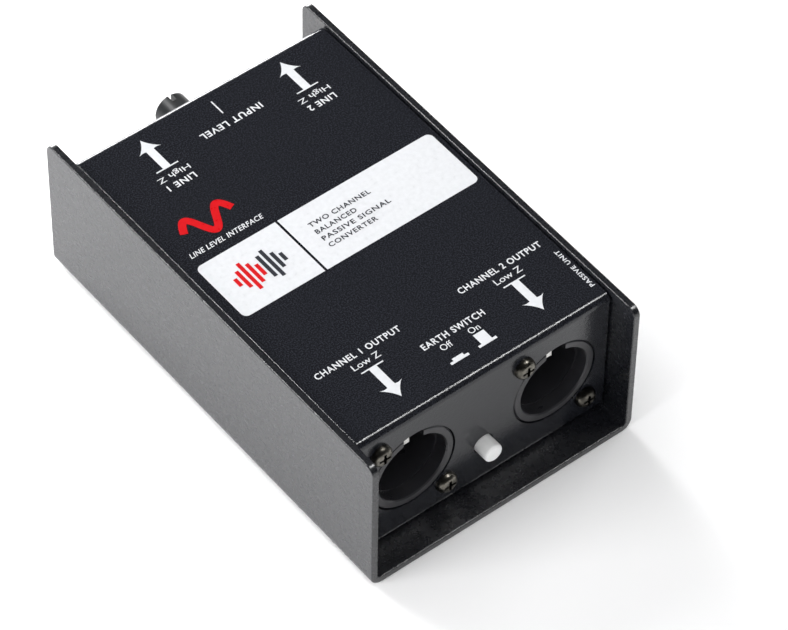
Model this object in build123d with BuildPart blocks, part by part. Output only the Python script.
"""Two-channel passive direct injection box.

Frame: X across the case, +Y towards the jack panel, +Z up, in millimetres.
Origin: the centre of the underside of the case, on the surface it stands on.
The XLR panel is the front (-Y), and the jack and attenuator panel is the rear (+Y).
"""

import os

from build123d import *

# ---------------------------------------------------------------- driving sizes
# Outer U-shaped case: bottom and two side walls, bent from one sheet
CASE_WIDTH = 76.2
CASE_LENGTH = 122.4
CASE_HEIGHT = 41.6
CASE_WALL = 1.8
CASE_BEND = 3.0
CASE_CORNER = 2.5
SHEET_EDGE = 0.3

# Inner chassis: top, front and rear panels and two bottom flanges, one sheet
PANEL_RECESS = 7.8
PANEL_WALL = 1.5
PANEL_BEND = 2.0
CHASSIS_GAP = 0.35
CHASSIS_DROP = 0.9
FLANGE_LENGTH = 11.0

# Both channels stand at the same distance from the middle
CHANNEL_X = 20.4

# XLR receptacles, 3 pin, male, behind the front panel
XLR_Z = 21.7
XLR_HOLE_RADIUS = 12.0
XLR_RING_RADIUS = 11.7
XLR_BARREL_RADIUS = 11.2
XLR_MOUTH_RADIUS = 9.6
XLR_BORE_RADIUS = 9.25
XLR_MOUTH_DEPTH = 3.7
XLR_FLOOR_DEPTH = 18.5
XLR_LENGTH = 22.0
XLR_TIP_DEPTH = 8.0
XLR_FLANGE_WIDTH = 25.6
XLR_FLANGE_HEIGHT = 31.0
XLR_FLANGE_WALL = 2.2
XLR_SCREW_X = 9.5
XLR_SCREW_Z = 12.0
XLR_PIN_CIRCLE = 4.76
XLR_PIN_RADIUS = 1.2
XLR_NOTCH_WIDTH = 5.6

# M3 screws and the threads that take them
SCREW_RADIUS = 1.45
THREAD_RADIUS = 1.48
CLEARANCE_RADIUS = 1.65
PAN_HEAD_RADIUS = 2.8
PAN_HEAD_HEIGHT = 1.9
FLAT_HEAD_RADIUS = 2.75
NUT_COLLAR_RADIUS = 2.1
NUT_HEAD_RADIUS = 3.1
NUT_HEAD_HEIGHT = 1.7

# Ground lift push switch
SWITCH_Z = 14.9
SWITCH_TRAVEL = 2.5
SWITCH_SIZE = 8.0
SWITCH_START = 7.0
SWITCH_LENGTH = 11.0
SWITCH_WALL = 1.2
SPRING_CLOSED = 2.4
CAP_RADIUS = 2.45
CAP_REACH = 4.0
CAP_LENGTH = 8.3
STEM_SIZE = 2.2

# Attenuator: panel potentiometer with a slotted knob
POT_X = -0.6
POT_Z = 26.4
POT_RADIUS = 8.3
POT_LENGTH = 11.0
POT_LUGS = (POT_X - 5, POT_X, POT_X + 5)
BUSHING_RADIUS = 3.5
SHAFT_RADIUS = 1.97
SHAFT_BORE = 2.02
KNOB_RADIUS = 4.35
KNOB_START = 3.1
KNOB_END = 11.4
KNOB_SLOT_WIDTH = 1.2
KNOB_SLOT_DEPTH = 2.4
KNOB_END_WALL = 3.3

# Quarter-inch jacks and phono jacks on the rear panel
JACK_Z = 29.2
JACK_WIDTH = 16.0
JACK_HEIGHT = 14.0
JACK_LENGTH = 26.0
JACK_BORE = 3.25
JACK_THREAD = 4.6
JACK_REACH = 4.5
PHONO_Z = 16.5
PHONO_RADIUS = 4.15
PHONO_REACH = 7.6
PHONO_THREAD = 3.2
PHONO_FLANGE = 1.2
PHONO_BACK = -5.5
PHONO_MOUTH = PHONO_REACH - 0.9
PHONO_TAIL = PHONO_MOUTH - 14.0

# Circuit board and transformers
BOARD_TOP = SWITCH_Z - SWITCH_SIZE / 2
BOARD_WALL = 1.6
LEAD_LENGTH = 2.2
SWITCH_ROWS = (9.5, 12.5, 15.5)
SWITCH_LEGS = (-2.5, 2.5)
RESISTOR_ROWS = (14.0, 17.0, 20.0, 23.0)
RESISTOR_COLUMNS = (-8.0, 8.0)
RESISTOR_SPAN = 10.0
TRANSFORMER_X = 19.0
TRANSFORMER_Y = -4.0
CORE_LENGTH = 24.0
CORE_HEIGHT = 19.0
CORE_STACK = 8.0
CORE_LEG = 4.0

# ---------------------------------------------------------------- worked-out sizes
CHASSIS_WIDTH = CASE_WIDTH - 2 * (CASE_WALL + CHASSIS_GAP)
CHASSIS_TOP = CASE_HEIGHT - CHASSIS_DROP
PANEL_Y = CASE_LENGTH / 2 - PANEL_RECESS
BOARD_BOTTOM = BOARD_TOP - BOARD_WALL
LEAD_END = BOARD_TOP - LEAD_LENGTH
CORE_BASE = BOARD_TOP + 1.5
POT_FACE = -PANEL_WALL
POT_CAN_DEPTH = POT_FACE - 1.0
TRACK_HEIGHT = POT_CAN_DEPTH - 8.4
CASE_SCREW_X = 26.0
CASE_SCREW_Y = PANEL_Y - 6.5
SIDES = {"left": -1, "right": 1}


def front_plane(x, z, depth=0.0):
    """A plane facing out of the front, at a depth behind the front panel's outer face."""
    return Plane(origin=(x, depth - PANEL_Y, z), x_dir=(1, 0, 0), z_dir=(0, -1, 0))


def rear_plane(x, z, height=0.0):
    """A plane facing out of the rear, at a height above the rear panel's outer face."""
    return Plane(origin=(x, PANEL_Y + height, z), x_dir=(-1, 0, 0), z_dir=(0, 1, 0))


def bar(plane, radius, length, mode=Mode.ADD):
    """A round bar along the plane's normal, or the other way for a negative length."""
    side = Align.MIN if length > 0 else Align.MAX
    with Locations(plane):
        Cylinder(radius, abs(length), align=(Align.CENTER, Align.CENTER, side), mode=mode)


def block(x, y, z, mode=Mode.ADD):
    """A box between two limits on each axis."""
    with Locations(((x[0] + x[1]) / 2, (y[0] + y[1]) / 2, (z[0] + z[1]) / 2)):
        Box(x[1] - x[0], y[1] - y[0], z[1] - z[0], mode=mode)


def around(middle, size):
    """The two limits of a length centred on a point."""
    return (middle - size / 2, middle + size / 2)


def hex_nut(plane, across_flats, bore, thickness):
    """A hexagon nut standing on a plane, chamfered on its outer face."""
    with BuildPart() as nut:
        with BuildSketch(plane):
            RegularPolygon(across_flats / 2, 6, major_radius=False)
            Circle(bore, mode=Mode.SUBTRACT)
        extrude(amount=thickness)
        outer_face = nut.faces().sort_by(Axis.Y)[-1 if plane.z_dir.Y > 0 else 0]
        chamfer(outer_face.outer_wire().edges(), 0.35)
    return nut.part


# ---------------------------------------------------------------- case
def make_base_shell():
    """Bottom and side walls, with lips that stand past both panels."""
    with BuildPart() as shell:
        with BuildSketch(Plane.XZ.offset(-CASE_LENGTH / 2)):
            with Locations((0, CASE_HEIGHT / 2 + CASE_BEND)):
                RectangleRounded(CASE_WIDTH, CASE_HEIGHT + 2 * CASE_BEND, CASE_BEND)
            with Locations((0, CASE_HEIGHT / 2 + CASE_WALL + CASE_BEND)):
                RectangleRounded(
                    CASE_WIDTH - 2 * CASE_WALL,
                    CASE_HEIGHT + 2 * CASE_BEND,
                    CASE_BEND - CASE_WALL,
                    mode=Mode.SUBTRACT,
                )
            with Locations((0, CASE_HEIGHT + 2 * CASE_BEND)):
                Rectangle(CASE_WIDTH, 4 * CASE_BEND, mode=Mode.SUBTRACT)
        extrude(amount=CASE_LENGTH)
        fillet(shell.edges().filter_by(Axis.X).group_by(Axis.Z)[-1], CASE_CORNER)
        fillet(shell.edges().filter_by(Axis.Y).group_by(Axis.Z)[-1], SHEET_EDGE)
        for x in (-CASE_SCREW_X, CASE_SCREW_X):
            for y in (-CASE_SCREW_Y, CASE_SCREW_Y):
                with Locations(Plane(origin=(x, y, 0), z_dir=(0, 0, -1))):
                    CounterSinkHole(CLEARANCE_RADIUS, FLAT_HEAD_RADIUS + 0.1, CASE_WALL, 90)
    return shell.part


def make_top_chassis():
    """Top, front and rear panels with the holes for every panel part."""
    height = CHASSIS_TOP - CASE_WALL
    with BuildPart() as chassis:
        with BuildSketch(Plane.YZ.offset(-CHASSIS_WIDTH / 2)):
            with Locations((0, CASE_WALL + height / 2)):
                RectangleRounded(2 * PANEL_Y, height, PANEL_BEND)
                RectangleRounded(
                    2 * (PANEL_Y - PANEL_WALL),
                    height - 2 * PANEL_WALL,
                    PANEL_BEND - PANEL_WALL,
                    mode=Mode.SUBTRACT,
                )
            with Locations((0, CASE_WALL)):
                Rectangle(2 * (PANEL_Y - FLANGE_LENGTH), 4 * PANEL_WALL, mode=Mode.SUBTRACT)
        extrude(amount=CHASSIS_WIDTH)
        fillet(chassis.edges().filter_by(Axis.Y).group_by(Axis.Z)[-1], SHEET_EDGE)
        for sign in SIDES.values():
            # Relief that clears the inside of the case's bottom bends
            edge = sorted((sign * CHASSIS_WIDTH / 2, sign * (CHASSIS_WIDTH / 2 - 1.1)))
            block(edge, (-PANEL_Y, PANEL_Y), (CASE_WALL, CASE_WALL + PANEL_WALL), Mode.SUBTRACT)
            x = sign * CHANNEL_X
            bar(front_plane(x, XLR_Z), XLR_HOLE_RADIUS, -PANEL_WALL, Mode.SUBTRACT)
            for turn in (-1, 1):
                hole = front_plane(x + turn * XLR_SCREW_X, XLR_Z - turn * XLR_SCREW_Z)
                bar(hole, CLEARANCE_RADIUS, -PANEL_WALL, Mode.SUBTRACT)
            bar(rear_plane(x, JACK_Z), JACK_THREAD + 0.15, -PANEL_WALL, Mode.SUBTRACT)
            bar(rear_plane(x, PHONO_Z), PHONO_THREAD + 0.1, -PANEL_WALL, Mode.SUBTRACT)
            for y in (-CASE_SCREW_Y, CASE_SCREW_Y):
                nut_hole = Plane(origin=(sign * CASE_SCREW_X, y, CASE_WALL))
                bar(nut_hole, NUT_COLLAR_RADIUS, PANEL_WALL, Mode.SUBTRACT)
        bar(front_plane(0, SWITCH_Z), CAP_RADIUS + 0.4, -PANEL_WALL, Mode.SUBTRACT)
        bar(rear_plane(POT_X, POT_Z), BUSHING_RADIUS + 0.1, -PANEL_WALL, Mode.SUBTRACT)
    return chassis.part


def make_clinch_nuts():
    """Four threaded inserts pressed into the chassis flanges."""
    with BuildPart() as nuts:
        for x in (-CASE_SCREW_X, CASE_SCREW_X):
            for y in (-CASE_SCREW_Y, CASE_SCREW_Y):
                base = Plane(origin=(x, y, CASE_WALL))
                bar(base, NUT_COLLAR_RADIUS, PANEL_WALL)
                bar(base.offset(PANEL_WALL), NUT_HEAD_RADIUS, NUT_HEAD_HEIGHT)
                bar(base, THREAD_RADIUS, PANEL_WALL + NUT_HEAD_HEIGHT, Mode.SUBTRACT)
    return nuts.part


def cross_recess(plane, depth):
    """Cuts a cross-shaped driver recess down from a plane."""
    width = 0.75
    span = 3.2
    for size in ((span, width), (width, span)):
        with Locations(plane):
            Box(*size, depth, align=(Align.CENTER, Align.CENTER, Align.MAX), mode=Mode.SUBTRACT)


def make_case_screws():
    """Four countersunk screws up through the bottom, flush with it."""
    length = 6.0
    head = FLAT_HEAD_RADIUS - SCREW_RADIUS
    with BuildPart() as screws:
        for x in (-CASE_SCREW_X, CASE_SCREW_X):
            for y in (-CASE_SCREW_Y, CASE_SCREW_Y):
                with BuildSketch(Plane(origin=(x, y, 0.1), x_dir=(1, 0, 0), z_dir=(0, -1, 0))):
                    with BuildLine():
                        Polyline(
                            (0, 0),
                            (FLAT_HEAD_RADIUS, 0),
                            (SCREW_RADIUS, head),
                            (SCREW_RADIUS, length),
                            (0, length),
                            close=True,
                        )
                    make_face()
                revolve(axis=Axis((x, y, 0), (0, 0, 1)))
                cross_recess(Plane(origin=(x, y, 0.1), z_dir=(0, 0, -1)), 1.1)
    return screws.part


# ---------------------------------------------------------------- XLR receptacles
def make_xlr_housing(x):
    """Ring in the panel hole, flange behind the panel and a stepped open barrel."""
    flange_start = PANEL_WALL
    with BuildPart() as housing:
        bar(front_plane(x, XLR_Z, 0.05), XLR_RING_RADIUS, -(PANEL_WALL + 1))
        bar(front_plane(x, XLR_Z, flange_start), XLR_BARREL_RADIUS, flange_start - XLR_LENGTH)
        with BuildSketch(front_plane(x, XLR_Z, flange_start)):
            RectangleRounded(XLR_FLANGE_WIDTH, XLR_FLANGE_HEIGHT, 2.0)
        extrude(amount=-XLR_FLANGE_WALL)
        bar(front_plane(x, XLR_Z), XLR_BORE_RADIUS, -XLR_LENGTH, Mode.SUBTRACT)
        bar(front_plane(x, XLR_Z), XLR_MOUTH_RADIUS, -XLR_MOUTH_DEPTH, Mode.SUBTRACT)
        # Window at the top of the ring, where the plug's latch catches
        block(
            around(x, XLR_NOTCH_WIDTH),
            (-PANEL_Y, 6.2 - PANEL_Y),
            (XLR_Z + XLR_BORE_RADIUS - 1.5, XLR_Z + XLR_RING_RADIUS + 0.1),
            Mode.SUBTRACT,
        )
        for turn in (-1, 1):
            hole = front_plane(x + turn * XLR_SCREW_X, XLR_Z - turn * XLR_SCREW_Z, flange_start)
            bar(hole, THREAD_RADIUS, -XLR_FLANGE_WALL, Mode.SUBTRACT)
        mouth = housing.edges().filter_by(GeomType.CIRCLE).group_by(Axis.Y)[0]
        chamfer(mouth, 0.3)
    return housing.part


def xlr_pin_places():
    """Pins 1 and 2 either side of the centre and pin 3 below it, with their leg depths."""
    return (
        (-XLR_PIN_CIRCLE, 0, 25.5),
        (XLR_PIN_CIRCLE, 0, 25.5),
        (0, -XLR_PIN_CIRCLE, 24.1),
    )


def make_xlr_insert(x):
    """Moulded disc that closes the barrel and holds the three pins."""
    with BuildPart() as insert:
        face = front_plane(x, XLR_Z, XLR_FLOOR_DEPTH)
        bar(face, XLR_BORE_RADIUS - 0.02, XLR_FLOOR_DEPTH - XLR_LENGTH)
        chamfer(insert.edges().group_by(Axis.Y)[0], 0.5)
        for dx, dz, _ in xlr_pin_places():
            hole = front_plane(x + dx, XLR_Z + dz, XLR_FLOOR_DEPTH)
            bar(hole, XLR_PIN_RADIUS, XLR_FLOOR_DEPTH - XLR_LENGTH, Mode.SUBTRACT)
    return insert.part


def make_xlr_pins(x):
    """Three contact pins with domed tips and legs down to the circuit board."""
    tail_radius = 0.8
    with BuildPart() as pins:
        for dx, dz, _ in xlr_pin_places():
            tip = front_plane(x + dx, XLR_Z + dz, XLR_TIP_DEPTH)
            bar(tip, XLR_PIN_RADIUS, XLR_TIP_DEPTH - XLR_LENGTH)
        fillet(pins.edges().group_by(Axis.Y)[0], 0.9)
        for dx, dz, leg_depth in xlr_pin_places():
            tail = front_plane(x + dx, XLR_Z + dz, XLR_LENGTH)
            bar(tail, tail_radius, XLR_LENGTH - leg_depth - tail_radius)
            leg_top = Plane(origin=(x + dx, leg_depth - PANEL_Y, XLR_Z + dz))
            bar(leg_top, 0.45, LEAD_END - XLR_Z - dz)
    return pins.part


def make_xlr_ground_contact(x):
    """Bent leaf in the window that touches the plug's shell."""
    left = x - XLR_NOTCH_WIDTH / 2 + 0.1
    top = XLR_Z + XLR_RING_RADIUS - 0.1
    with BuildPart() as leaf:
        block((left, left + 1.5), (0.25 - PANEL_Y, 5.9 - PANEL_Y), (top - 0.4, top))
        block((left, left + 1.5), (0.25 - PANEL_Y, 0.65 - PANEL_Y), (top - 1.6, top))
        fillet(leaf.edges().filter_by(Axis.X).sort_by(Axis.Y)[0:1], 0.2)
    return leaf.part


def make_xlr_screws():
    """Two pan-head screws for each receptacle."""
    with BuildPart() as screws:
        for sign in SIDES.values():
            for turn in (-1, 1):
                x = sign * CHANNEL_X + turn * XLR_SCREW_X
                z = XLR_Z - turn * XLR_SCREW_Z
                bar(front_plane(x, z), PAN_HEAD_RADIUS, PAN_HEAD_HEIGHT)
                bar(front_plane(x, z), SCREW_RADIUS, -5.2)
        fillet(screws.edges().group_by(Axis.Y)[0], 1.6)
        for sign in SIDES.values():
            for turn in (-1, 1):
                x = sign * CHANNEL_X + turn * XLR_SCREW_X
                z = XLR_Z - turn * XLR_SCREW_Z
                cross_recess(front_plane(x, z, -PAN_HEAD_HEIGHT), 1.3)
    return screws.part


# ---------------------------------------------------------------- ground lift switch
def make_ground_lift_body():
    """Square switch frame, hollow for the slider and open in front for its stem."""
    start = SWITCH_START - PANEL_Y
    end = start + SWITCH_LENGTH
    cavity = SWITCH_SIZE - 2 * SWITCH_WALL
    with BuildPart() as body:
        block(around(0, SWITCH_SIZE), (start, end), around(SWITCH_Z, SWITCH_SIZE))
        block(
            around(0, cavity),
            (start + SWITCH_WALL, end - SWITCH_WALL),
            around(SWITCH_Z, cavity),
            Mode.SUBTRACT,
        )
        opening = STEM_SIZE + 0.5
        block(
            around(0, opening),
            (start, start + SWITCH_WALL),
            around(SWITCH_Z, opening),
            Mode.SUBTRACT,
        )
    return body.part


def slider_span():
    """The front and back of the slider block at rest."""
    front = SWITCH_START + SWITCH_WALL - PANEL_Y + 0.1
    cavity_end = SWITCH_START + SWITCH_LENGTH - SWITCH_WALL - PANEL_Y
    return (front, cavity_end - SWITCH_TRAVEL - SPRING_CLOSED)


def make_ground_lift_plunger():
    """Stem that carries the cap, and the slider block inside the switch."""
    slider = SWITCH_SIZE - 2 * SWITCH_WALL - 0.6
    with BuildPart() as plunger:
        block(around(0, slider), slider_span(), around(SWITCH_Z, slider))
        stem = (0.5 - PANEL_Y, slider_span()[0])
        block(around(0, STEM_SIZE), stem, around(SWITCH_Z, STEM_SIZE))
    return plunger.part


def make_ground_lift_cap():
    """Round push cap with a softened end and a square socket for the stem."""
    with BuildPart() as cap:
        bar(front_plane(0, SWITCH_Z, -CAP_REACH), CAP_RADIUS, -CAP_LENGTH)
        fillet(cap.edges().group_by(Axis.Y)[0], 0.7)
        socket = (0.5 - PANEL_Y, CAP_LENGTH - CAP_REACH - PANEL_Y)
        block(around(0, STEM_SIZE), socket, around(SWITCH_Z, STEM_SIZE), Mode.SUBTRACT)
    return cap.part


def make_ground_lift_spring():
    """Return spring between the slider block and the back of the switch."""
    wire = 0.22
    start = slider_span()[1] + wire + 0.05
    end = SWITCH_START + SWITCH_LENGTH - SWITCH_WALL - PANEL_Y - wire - 0.05
    turns = 4
    with BuildPart() as spring:
        with BuildLine() as coil:
            Helix(
                pitch=(end - start) / turns,
                height=end - start,
                radius=1.7,
                center=(0, start, SWITCH_Z),
                direction=(0, 1, 0),
            )
        with BuildSketch(Plane(origin=coil.line @ 0, z_dir=coil.line % 0)):
            Circle(wire)
        sweep(is_frenet=True)
    return spring.part


def make_ground_lift_terminals():
    """Six switch legs through the circuit board."""
    with BuildPart() as terminals:
        for row in SWITCH_ROWS:
            for x in SWITCH_LEGS:
                block(around(x, 0.6), around(row - PANEL_Y, 0.4), (LEAD_END, BOARD_TOP))
    return terminals.part


# ---------------------------------------------------------------- attenuator
def make_attenuator_can():
    """Pressed can around the back of the potentiometer, slotted below for its lugs."""
    wall = 0.5
    with BuildPart() as can:
        bar(rear_plane(POT_X, POT_Z, POT_CAN_DEPTH), POT_RADIUS, -POT_LENGTH)
        bar(rear_plane(POT_X, POT_Z, POT_CAN_DEPTH), POT_RADIUS - wall, wall - POT_LENGTH, Mode.SUBTRACT)
        slot_y = PANEL_Y + TRACK_HEIGHT
        slot_z = (POT_Z - POT_RADIUS - 1, POT_Z - 5)
        block(around(POT_X, 14), (slot_y - 1.2, slot_y + 0.4), slot_z, Mode.SUBTRACT)
    return can.part


def make_attenuator_bushing():
    """Front plate of the potentiometer and the threaded barrel through the panel."""
    barrel = PANEL_WALL + 2.8
    with BuildPart() as bushing:
        bar(rear_plane(POT_X, POT_Z, POT_CAN_DEPTH), POT_RADIUS, POT_FACE - POT_CAN_DEPTH)
        bar(rear_plane(POT_X, POT_Z, POT_FACE), BUSHING_RADIUS, barrel)
        bar(rear_plane(POT_X, POT_Z, POT_CAN_DEPTH), SHAFT_BORE, 10, Mode.SUBTRACT)
        chamfer(bushing.edges().group_by(Axis.Y)[-1].sort_by(SortBy.RADIUS)[-1:], 0.3)
    return bushing.part


def make_washer(x, z, bore, radius):
    """A flat washer against the rear panel."""
    thickness = 0.5
    with BuildPart() as washer:
        bar(rear_plane(x, z), radius, thickness)
        bar(rear_plane(x, z), bore, thickness, Mode.SUBTRACT)
    return washer.part


def make_attenuator_track():
    """Resistive wafer fixed across the can."""
    with BuildPart() as track:
        bar(rear_plane(POT_X, POT_Z, TRACK_HEIGHT), POT_RADIUS - 0.55, 1.0)
        bar(rear_plane(POT_X, POT_Z, TRACK_HEIGHT), SHAFT_RADIUS + 1.0, 1.0, Mode.SUBTRACT)
    return track.part


def make_attenuator_terminals():
    """Three lugs from the wafer down to the circuit board."""
    lug_y = PANEL_Y + TRACK_HEIGHT
    with BuildPart() as terminals:
        for x in POT_LUGS:
            block(around(x, 1.2), (lug_y - 0.4, lug_y), (LEAD_END, POT_Z - POT_RADIUS + 2.3))
    return terminals.part


def make_attenuator_shaft():
    """Steel shaft, with a collar that keeps it in the bushing."""
    inner = TRACK_HEIGHT + 2.2
    collar_length = 1.5
    with BuildPart() as shaft:
        bar(rear_plane(POT_X, POT_Z, inner), SHAFT_RADIUS, KNOB_END - KNOB_END_WALL - inner)
        bar(rear_plane(POT_X, POT_Z, POT_CAN_DEPTH - collar_length - 0.2), 3.2, collar_length)
    return shaft.part


def make_attenuator_wiper():
    """Rotor on the shaft, with the contact arm that runs over the wafer."""
    height = TRACK_HEIGHT + 2.4
    with BuildPart() as wiper:
        bar(rear_plane(POT_X, POT_Z, height), 6.2, 1.2)
        bar(rear_plane(POT_X, POT_Z, height), SHAFT_RADIUS, 1.2, Mode.SUBTRACT)
        arm_y = PANEL_Y + height
        block(around(POT_X, 1.6), (arm_y - 1.1, arm_y), (POT_Z + 3.6, POT_Z + 5.6))
    return wiper.part


def make_attenuator_knob():
    """Slim push-on knob with a pointer slot across its end."""
    with BuildPart() as knob:
        bar(rear_plane(POT_X, POT_Z, KNOB_START), KNOB_RADIUS, KNOB_END - KNOB_START)
        chamfer(knob.edges().group_by(Axis.Y)[-1], 0.45)
        slot = (PANEL_Y + KNOB_END - KNOB_SLOT_DEPTH, PANEL_Y + KNOB_END)
        block(around(POT_X, KNOB_SLOT_WIDTH), slot, around(POT_Z, 2 * KNOB_RADIUS + 2), Mode.SUBTRACT)
        bore = KNOB_END - KNOB_END_WALL - KNOB_START
        bar(rear_plane(POT_X, POT_Z, KNOB_START), SHAFT_RADIUS, bore, Mode.SUBTRACT)
    return knob.part


# ---------------------------------------------------------------- quarter-inch jacks
def make_jack_body(x):
    """Moulded box with a threaded nose through the panel."""
    front = PANEL_Y - PANEL_WALL
    back = front - JACK_LENGTH
    nose_wall = 3.0
    wall = 1.2
    with BuildPart() as body:
        block(around(x, JACK_WIDTH), (back, front), around(JACK_Z, JACK_HEIGHT))
        block(
            around(x, JACK_WIDTH - 2 * wall),
            (back + wall, front - nose_wall),
            around(JACK_Z, JACK_HEIGHT - 2 * wall),
            Mode.SUBTRACT,
        )
        bar(rear_plane(x, JACK_Z, -PANEL_WALL), JACK_THREAD, PANEL_WALL + JACK_REACH)
        chamfer(body.edges().filter_by(GeomType.CIRCLE).group_by(Axis.Y)[-1], 0.4)
        bar(rear_plane(x, JACK_Z, JACK_REACH), JACK_BORE, -12, Mode.SUBTRACT)
        for dx in jack_leg_places():
            leg = (back + 5.7, back + 6.3)
            bottom = (JACK_Z - JACK_HEIGHT / 2, JACK_Z - JACK_HEIGHT / 2 + wall)
            block(around(x + dx, 1.3), leg, bottom, Mode.SUBTRACT)
    return body.part


def jack_leg_places():
    """Where the tip and sleeve springs leave the jack, from its centre line."""
    return (-4.6, 4.6)


def make_jack_contacts(x):
    """Tip and sleeve springs along the jack, each with a leg to the board."""
    back = PANEL_Y - PANEL_WALL - JACK_LENGTH
    with BuildPart() as contacts:
        for dx in jack_leg_places():
            side = 1 if dx > 0 else -1
            block(around(x + dx, 0.5), (back + 5.8, back + 20), (JACK_Z - 5.6, JACK_Z + 3.5))
            block(
                (x + min(dx, dx - side * 1.2), x + max(dx, dx - side * 1.2)),
                (back + 8, back + 11),
                around(JACK_Z, 3),
            )
            block(around(x + dx, 1.0), (back + 5.8, back + 6.2), (LEAD_END, JACK_Z - 5.2))
    return contacts.part


# ---------------------------------------------------------------- phono jacks
def make_phono_shell(x):
    """Plated outer contact with a flange and a threaded tail through the panel."""
    with BuildPart() as shell:
        bar(rear_plane(x, PHONO_Z), 5.2, PHONO_FLANGE)
        bar(rear_plane(x, PHONO_Z, PHONO_FLANGE), PHONO_RADIUS, PHONO_REACH - PHONO_FLANGE)
        chamfer(shell.edges().group_by(Axis.Y)[-1], 0.3)
        bar(rear_plane(x, PHONO_Z), PHONO_THREAD, PHONO_BACK)
        bar(rear_plane(x, PHONO_Z, PHONO_REACH), 3.5, -PHONO_REACH + PHONO_FLANGE, Mode.SUBTRACT)
        bar(rear_plane(x, PHONO_Z, PHONO_BACK), 2.6, 9, Mode.SUBTRACT)
    return shell.part


def make_phono_insulator(x):
    """Stepped plastic core between the two contacts."""
    with BuildPart() as core:
        bar(rear_plane(x, PHONO_Z, PHONO_REACH - 0.7), 3.48, 0.7 - PHONO_REACH + PHONO_FLANGE)
        bar(rear_plane(x, PHONO_Z, PHONO_FLANGE), 2.58, PHONO_BACK - 0.5 - PHONO_FLANGE)
        bar(rear_plane(x, PHONO_Z, PHONO_REACH), 2.0, PHONO_BACK - 1 - PHONO_REACH, Mode.SUBTRACT)
    return core.part


def make_phono_contact(x):
    """Centre contact: a tube for the plug's pin and a solder tail."""
    tube = 10.5
    with BuildPart() as contact:
        bar(rear_plane(x, PHONO_Z, PHONO_MOUTH), 1.98, -tube)
        bar(rear_plane(x, PHONO_Z, PHONO_MOUTH), 1.65, 1.0 - tube, Mode.SUBTRACT)
        bar(rear_plane(x, PHONO_Z, PHONO_TAIL), 0.7, PHONO_MOUTH - PHONO_TAIL - tube)
    return contact.part


def phono_lead_y():
    """Where the phono jack's wire goes down through the board."""
    return PANEL_Y + PHONO_TAIL - 4.5


def make_phono_lead(x):
    """Wire from the centre contact, back and down to the board."""
    start_y = PANEL_Y + PHONO_TAIL
    with BuildPart() as lead:
        with BuildLine() as route:
            FilletPolyline(
                (x, start_y, PHONO_Z),
                (x, phono_lead_y(), PHONO_Z),
                (x, phono_lead_y(), LEAD_END),
                radius=3.5,
            )
        with BuildSketch(Plane(origin=route.line @ 0, z_dir=route.line % 0)):
            Circle(0.45)
        sweep()
    return lead.part


# ---------------------------------------------------------------- circuit board
def make_main_board():
    """Circuit board with a tongue under the switch and a hole for every lead."""
    front = XLR_LENGTH + 0.5 - PANEL_Y
    back = PANEL_Y - PANEL_WALL - 0.4
    with BuildPart() as board:
        thickness = (BOARD_BOTTOM, BOARD_TOP)
        block(around(0, 66), (front, back), thickness)
        block(around(0, 13), (SWITCH_START - PANEL_Y, front), thickness)
        for x, y, radius in board_holes():
            bar(Plane(origin=(x, y, BOARD_TOP)), radius, -BOARD_WALL, Mode.SUBTRACT)
    return board.part


def board_holes():
    """Every lead hole in the board: its place and radius."""
    holes = []
    jack_leg_y = PANEL_Y - PANEL_WALL - JACK_LENGTH + 6.0
    for sign in SIDES.values():
        x = sign * CHANNEL_X
        holes += [(x + dx, leg - PANEL_Y, 0.55) for dx, _, leg in xlr_pin_places()]
        holes += [(x + dx, jack_leg_y, 0.65) for dx in jack_leg_places()]
        holes.append((x, phono_lead_y(), 0.6))
        holes += [(px, py, 0.5) for px, py in transformer_pin_places(sign)]
    holes += [(x, row - PANEL_Y, 0.45) for row in SWITCH_ROWS for x in SWITCH_LEGS]
    holes += [(x, PANEL_Y + TRACK_HEIGHT - 0.2, 0.75) for x in POT_LUGS]
    holes += [(x, y, 0.4) for x, y in resistor_ends()]
    return holes


def resistor_ends():
    """Both lead holes of every resistor."""
    half = RESISTOR_SPAN / 2
    return [(x + end, y) for y in RESISTOR_ROWS for x in RESISTOR_COLUMNS for end in (-half, half)]


def make_resistors():
    """Axial resistors lying on the board, each with two bent leads."""
    height = BOARD_TOP + 1.3
    with BuildPart() as resistors:
        for y in RESISTOR_ROWS:
            for x in RESISTOR_COLUMNS:
                middle = Plane(origin=(x, y, height), x_dir=(0, 1, 0), z_dir=(1, 0, 0))
                bar(middle.offset(-3.0), 1.1, 6.0)
                bar(middle.offset(-RESISTOR_SPAN / 2), 0.3, RESISTOR_SPAN)
        for x, y in resistor_ends():
            bar(Plane(origin=(x, y, height + 0.3)), 0.3, LEAD_END - height - 0.3)
    return resistors.part


def make_film_capacitors():
    """Two box capacitors standing on the board."""
    with BuildPart() as capacitors:
        for x in (-4.0, 4.0):
            block(around(x, 5), around(-26.0, 10), (BOARD_TOP, BOARD_TOP + 9))
        fillet(capacitors.edges().group_by(Axis.Z)[-1], 0.5)
    return capacitors.part


# ---------------------------------------------------------------- transformers
def transformer_spaces():
    """Y limits of the two winding windows, and the Z limits of both."""
    inner = CORE_LEG
    outer = CORE_LENGTH / 2 - CORE_LEG
    windows = [(TRANSFORMER_Y - outer, TRANSFORMER_Y - inner)]
    windows.append((TRANSFORMER_Y + inner, TRANSFORMER_Y + outer))
    return windows, (CORE_BASE + CORE_LEG, CORE_BASE + CORE_HEIGHT - CORE_LEG)


def transformer_pin_places(sign):
    """Four bobbin pins of one transformer."""
    x = sign * TRANSFORMER_X
    return [(x + dx, TRANSFORMER_Y + dy) for dx in (-7, 7) for dy in (-2.5, 2.5)]


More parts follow.
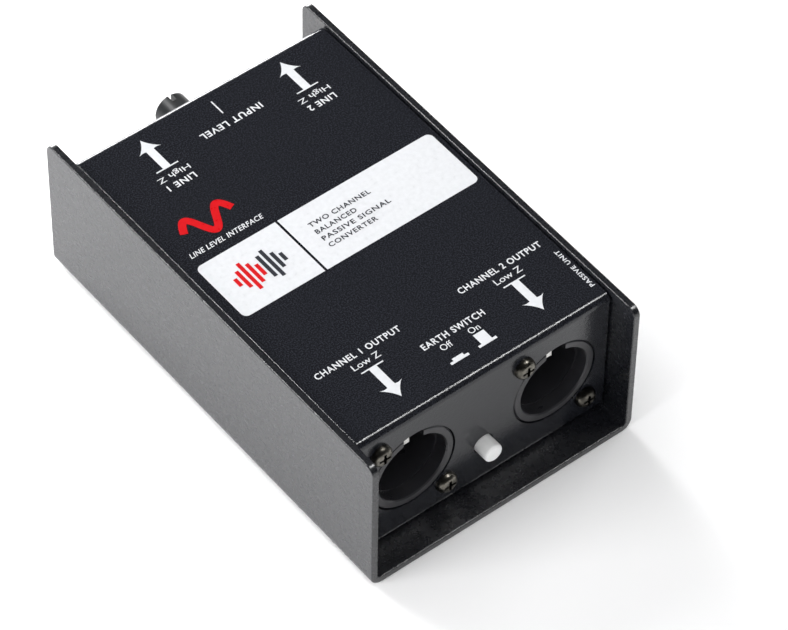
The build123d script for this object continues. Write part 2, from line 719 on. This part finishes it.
def make_transformer_core(x):
    """Laminated core: two outer legs and a centre leg joined top and bottom."""
    windows, heights = transformer_spaces()
    with BuildPart() as core:
        block(
            around(x, CORE_STACK),
            around(TRANSFORMER_Y, CORE_LENGTH),
            (CORE_BASE, CORE_BASE + CORE_HEIGHT),
        )
        for window in windows:
            block(around(x, CORE_STACK), window, heights, Mode.SUBTRACT)
    return core.part


def make_transformer_bobbin(x):
    """Spool on the centre leg, with a foot that carries the pins."""
    _, (low, high) = transformer_spaces()
    leg = (CORE_STACK, 2 * CORE_LEG)
    tube = (leg[0] + 1.6, leg[1] + 1.6)
    rim = (17.0, 2 * (CORE_LENGTH / 2 - CORE_LEG) - 0.4)
    with BuildPart() as bobbin:
        for bottom in (low + 0.1, high - 1.1):
            block(around(x, rim[0]), around(TRANSFORMER_Y, rim[1]), (bottom, bottom + 1))
        block(around(x, tube[0]), around(TRANSFORMER_Y, tube[1]), (low + 0.1, high - 0.1))
        block(
            around(x, leg[0] + 0.1),
            around(TRANSFORMER_Y, leg[1] + 0.1),
            (low, high),
            Mode.SUBTRACT,
        )
        for side in (-1, 1):
            foot = around(x + side * 7, 2.4)
            block(foot, around(TRANSFORMER_Y, 8), (BOARD_TOP, low + 0.6))
    return bobbin.part


def make_transformer_winding(x):
    """Wound and taped copper between the spool's rims."""
    _, (low, high) = transformer_spaces()
    with BuildPart() as winding:
        block(around(x, 16.0), around(TRANSFORMER_Y, 15.2), (low + 1.15, high - 1.15))
        fillet(winding.edges().filter_by(Axis.Z), 2.5)
        block(
            around(x, CORE_STACK + 1.7),
            around(TRANSFORMER_Y, 2 * CORE_LEG + 1.7),
            (low, high),
            Mode.SUBTRACT,
        )
    return winding.part


def make_transformer_pins():
    """Four pins under each transformer."""
    with BuildPart() as pins:
        for sign in SIDES.values():
            for x, y in transformer_pin_places(sign):
                bar(Plane(origin=(x, y, LEAD_END)), 0.4, BOARD_TOP - LEAD_END)
    return pins.part


# ---------------------------------------------------------------- assembly
pieces = {
    "base_shell": make_base_shell(),
    "top_chassis": make_top_chassis(),
    "clinch_nuts": make_clinch_nuts(),
    "case_screws": make_case_screws(),
    "xlr_screws": make_xlr_screws(),
    "ground_lift_body": make_ground_lift_body(),
    "ground_lift_plunger": make_ground_lift_plunger(),
    "ground_lift_cap": make_ground_lift_cap(),
    "ground_lift_spring": make_ground_lift_spring(),
    "ground_lift_terminals": make_ground_lift_terminals(),
    "attenuator_can": make_attenuator_can(),
    "attenuator_bushing": make_attenuator_bushing(),
    "attenuator_washer": make_washer(POT_X, POT_Z, BUSHING_RADIUS + 0.05, 5.4),
    "attenuator_nut": hex_nut(rear_plane(POT_X, POT_Z, 0.5), 9.6, BUSHING_RADIUS + 0.02, 2.0),
    "attenuator_track": make_attenuator_track(),
    "attenuator_terminals": make_attenuator_terminals(),
    "attenuator_shaft": make_attenuator_shaft(),
    "attenuator_wiper": make_attenuator_wiper(),
    "attenuator_knob": make_attenuator_knob(),
    "main_board": make_main_board(),
    "resistors": make_resistors(),
    "film_capacitors": make_film_capacitors(),
    "transformer_pins": make_transformer_pins(),
}

for side, sign in SIDES.items():
    channel = sign * CHANNEL_X
    pieces[f"xlr_{side}_housing"] = make_xlr_housing(channel)
    pieces[f"xlr_{side}_insert"] = make_xlr_insert(channel)
    pieces[f"xlr_{side}_pins"] = make_xlr_pins(channel)
    pieces[f"xlr_{side}_ground_contact"] = make_xlr_ground_contact(channel)
    pieces[f"jack_{side}_body"] = make_jack_body(channel)
    pieces[f"jack_{side}_contacts"] = make_jack_contacts(channel)
    pieces[f"jack_{side}_washer"] = make_washer(channel, JACK_Z, JACK_THREAD + 0.1, 6.7)
    jack_nut_plane = rear_plane(channel, JACK_Z, 0.5)
    pieces[f"jack_{side}_nut"] = hex_nut(jack_nut_plane, 12.4, JACK_THREAD + 0.02, 2.2)
    pieces[f"phono_{side}_shell"] = make_phono_shell(channel)
    pieces[f"phono_{side}_insulator"] = make_phono_insulator(channel)
    pieces[f"phono_{side}_contact"] = make_phono_contact(channel)
    phono_nut_plane = rear_plane(channel, PHONO_Z, -PANEL_WALL - 2.0)
    pieces[f"phono_{side}_nut"] = hex_nut(phono_nut_plane, 9.0, PHONO_THREAD + 0.02, 2.0)
    pieces[f"phono_{side}_lead"] = make_phono_lead(channel)
    transformer = sign * TRANSFORMER_X
    pieces[f"transformer_{side}_core"] = make_transformer_core(transformer)
    pieces[f"transformer_{side}_bobbin"] = make_transformer_bobbin(transformer)
    pieces[f"transformer_{side}_winding"] = make_transformer_winding(transformer)

os.makedirs("parts", exist_ok=True)
for name, part in pieces.items():
    part.label = name
    export_step(part, f"parts/{name}.step")
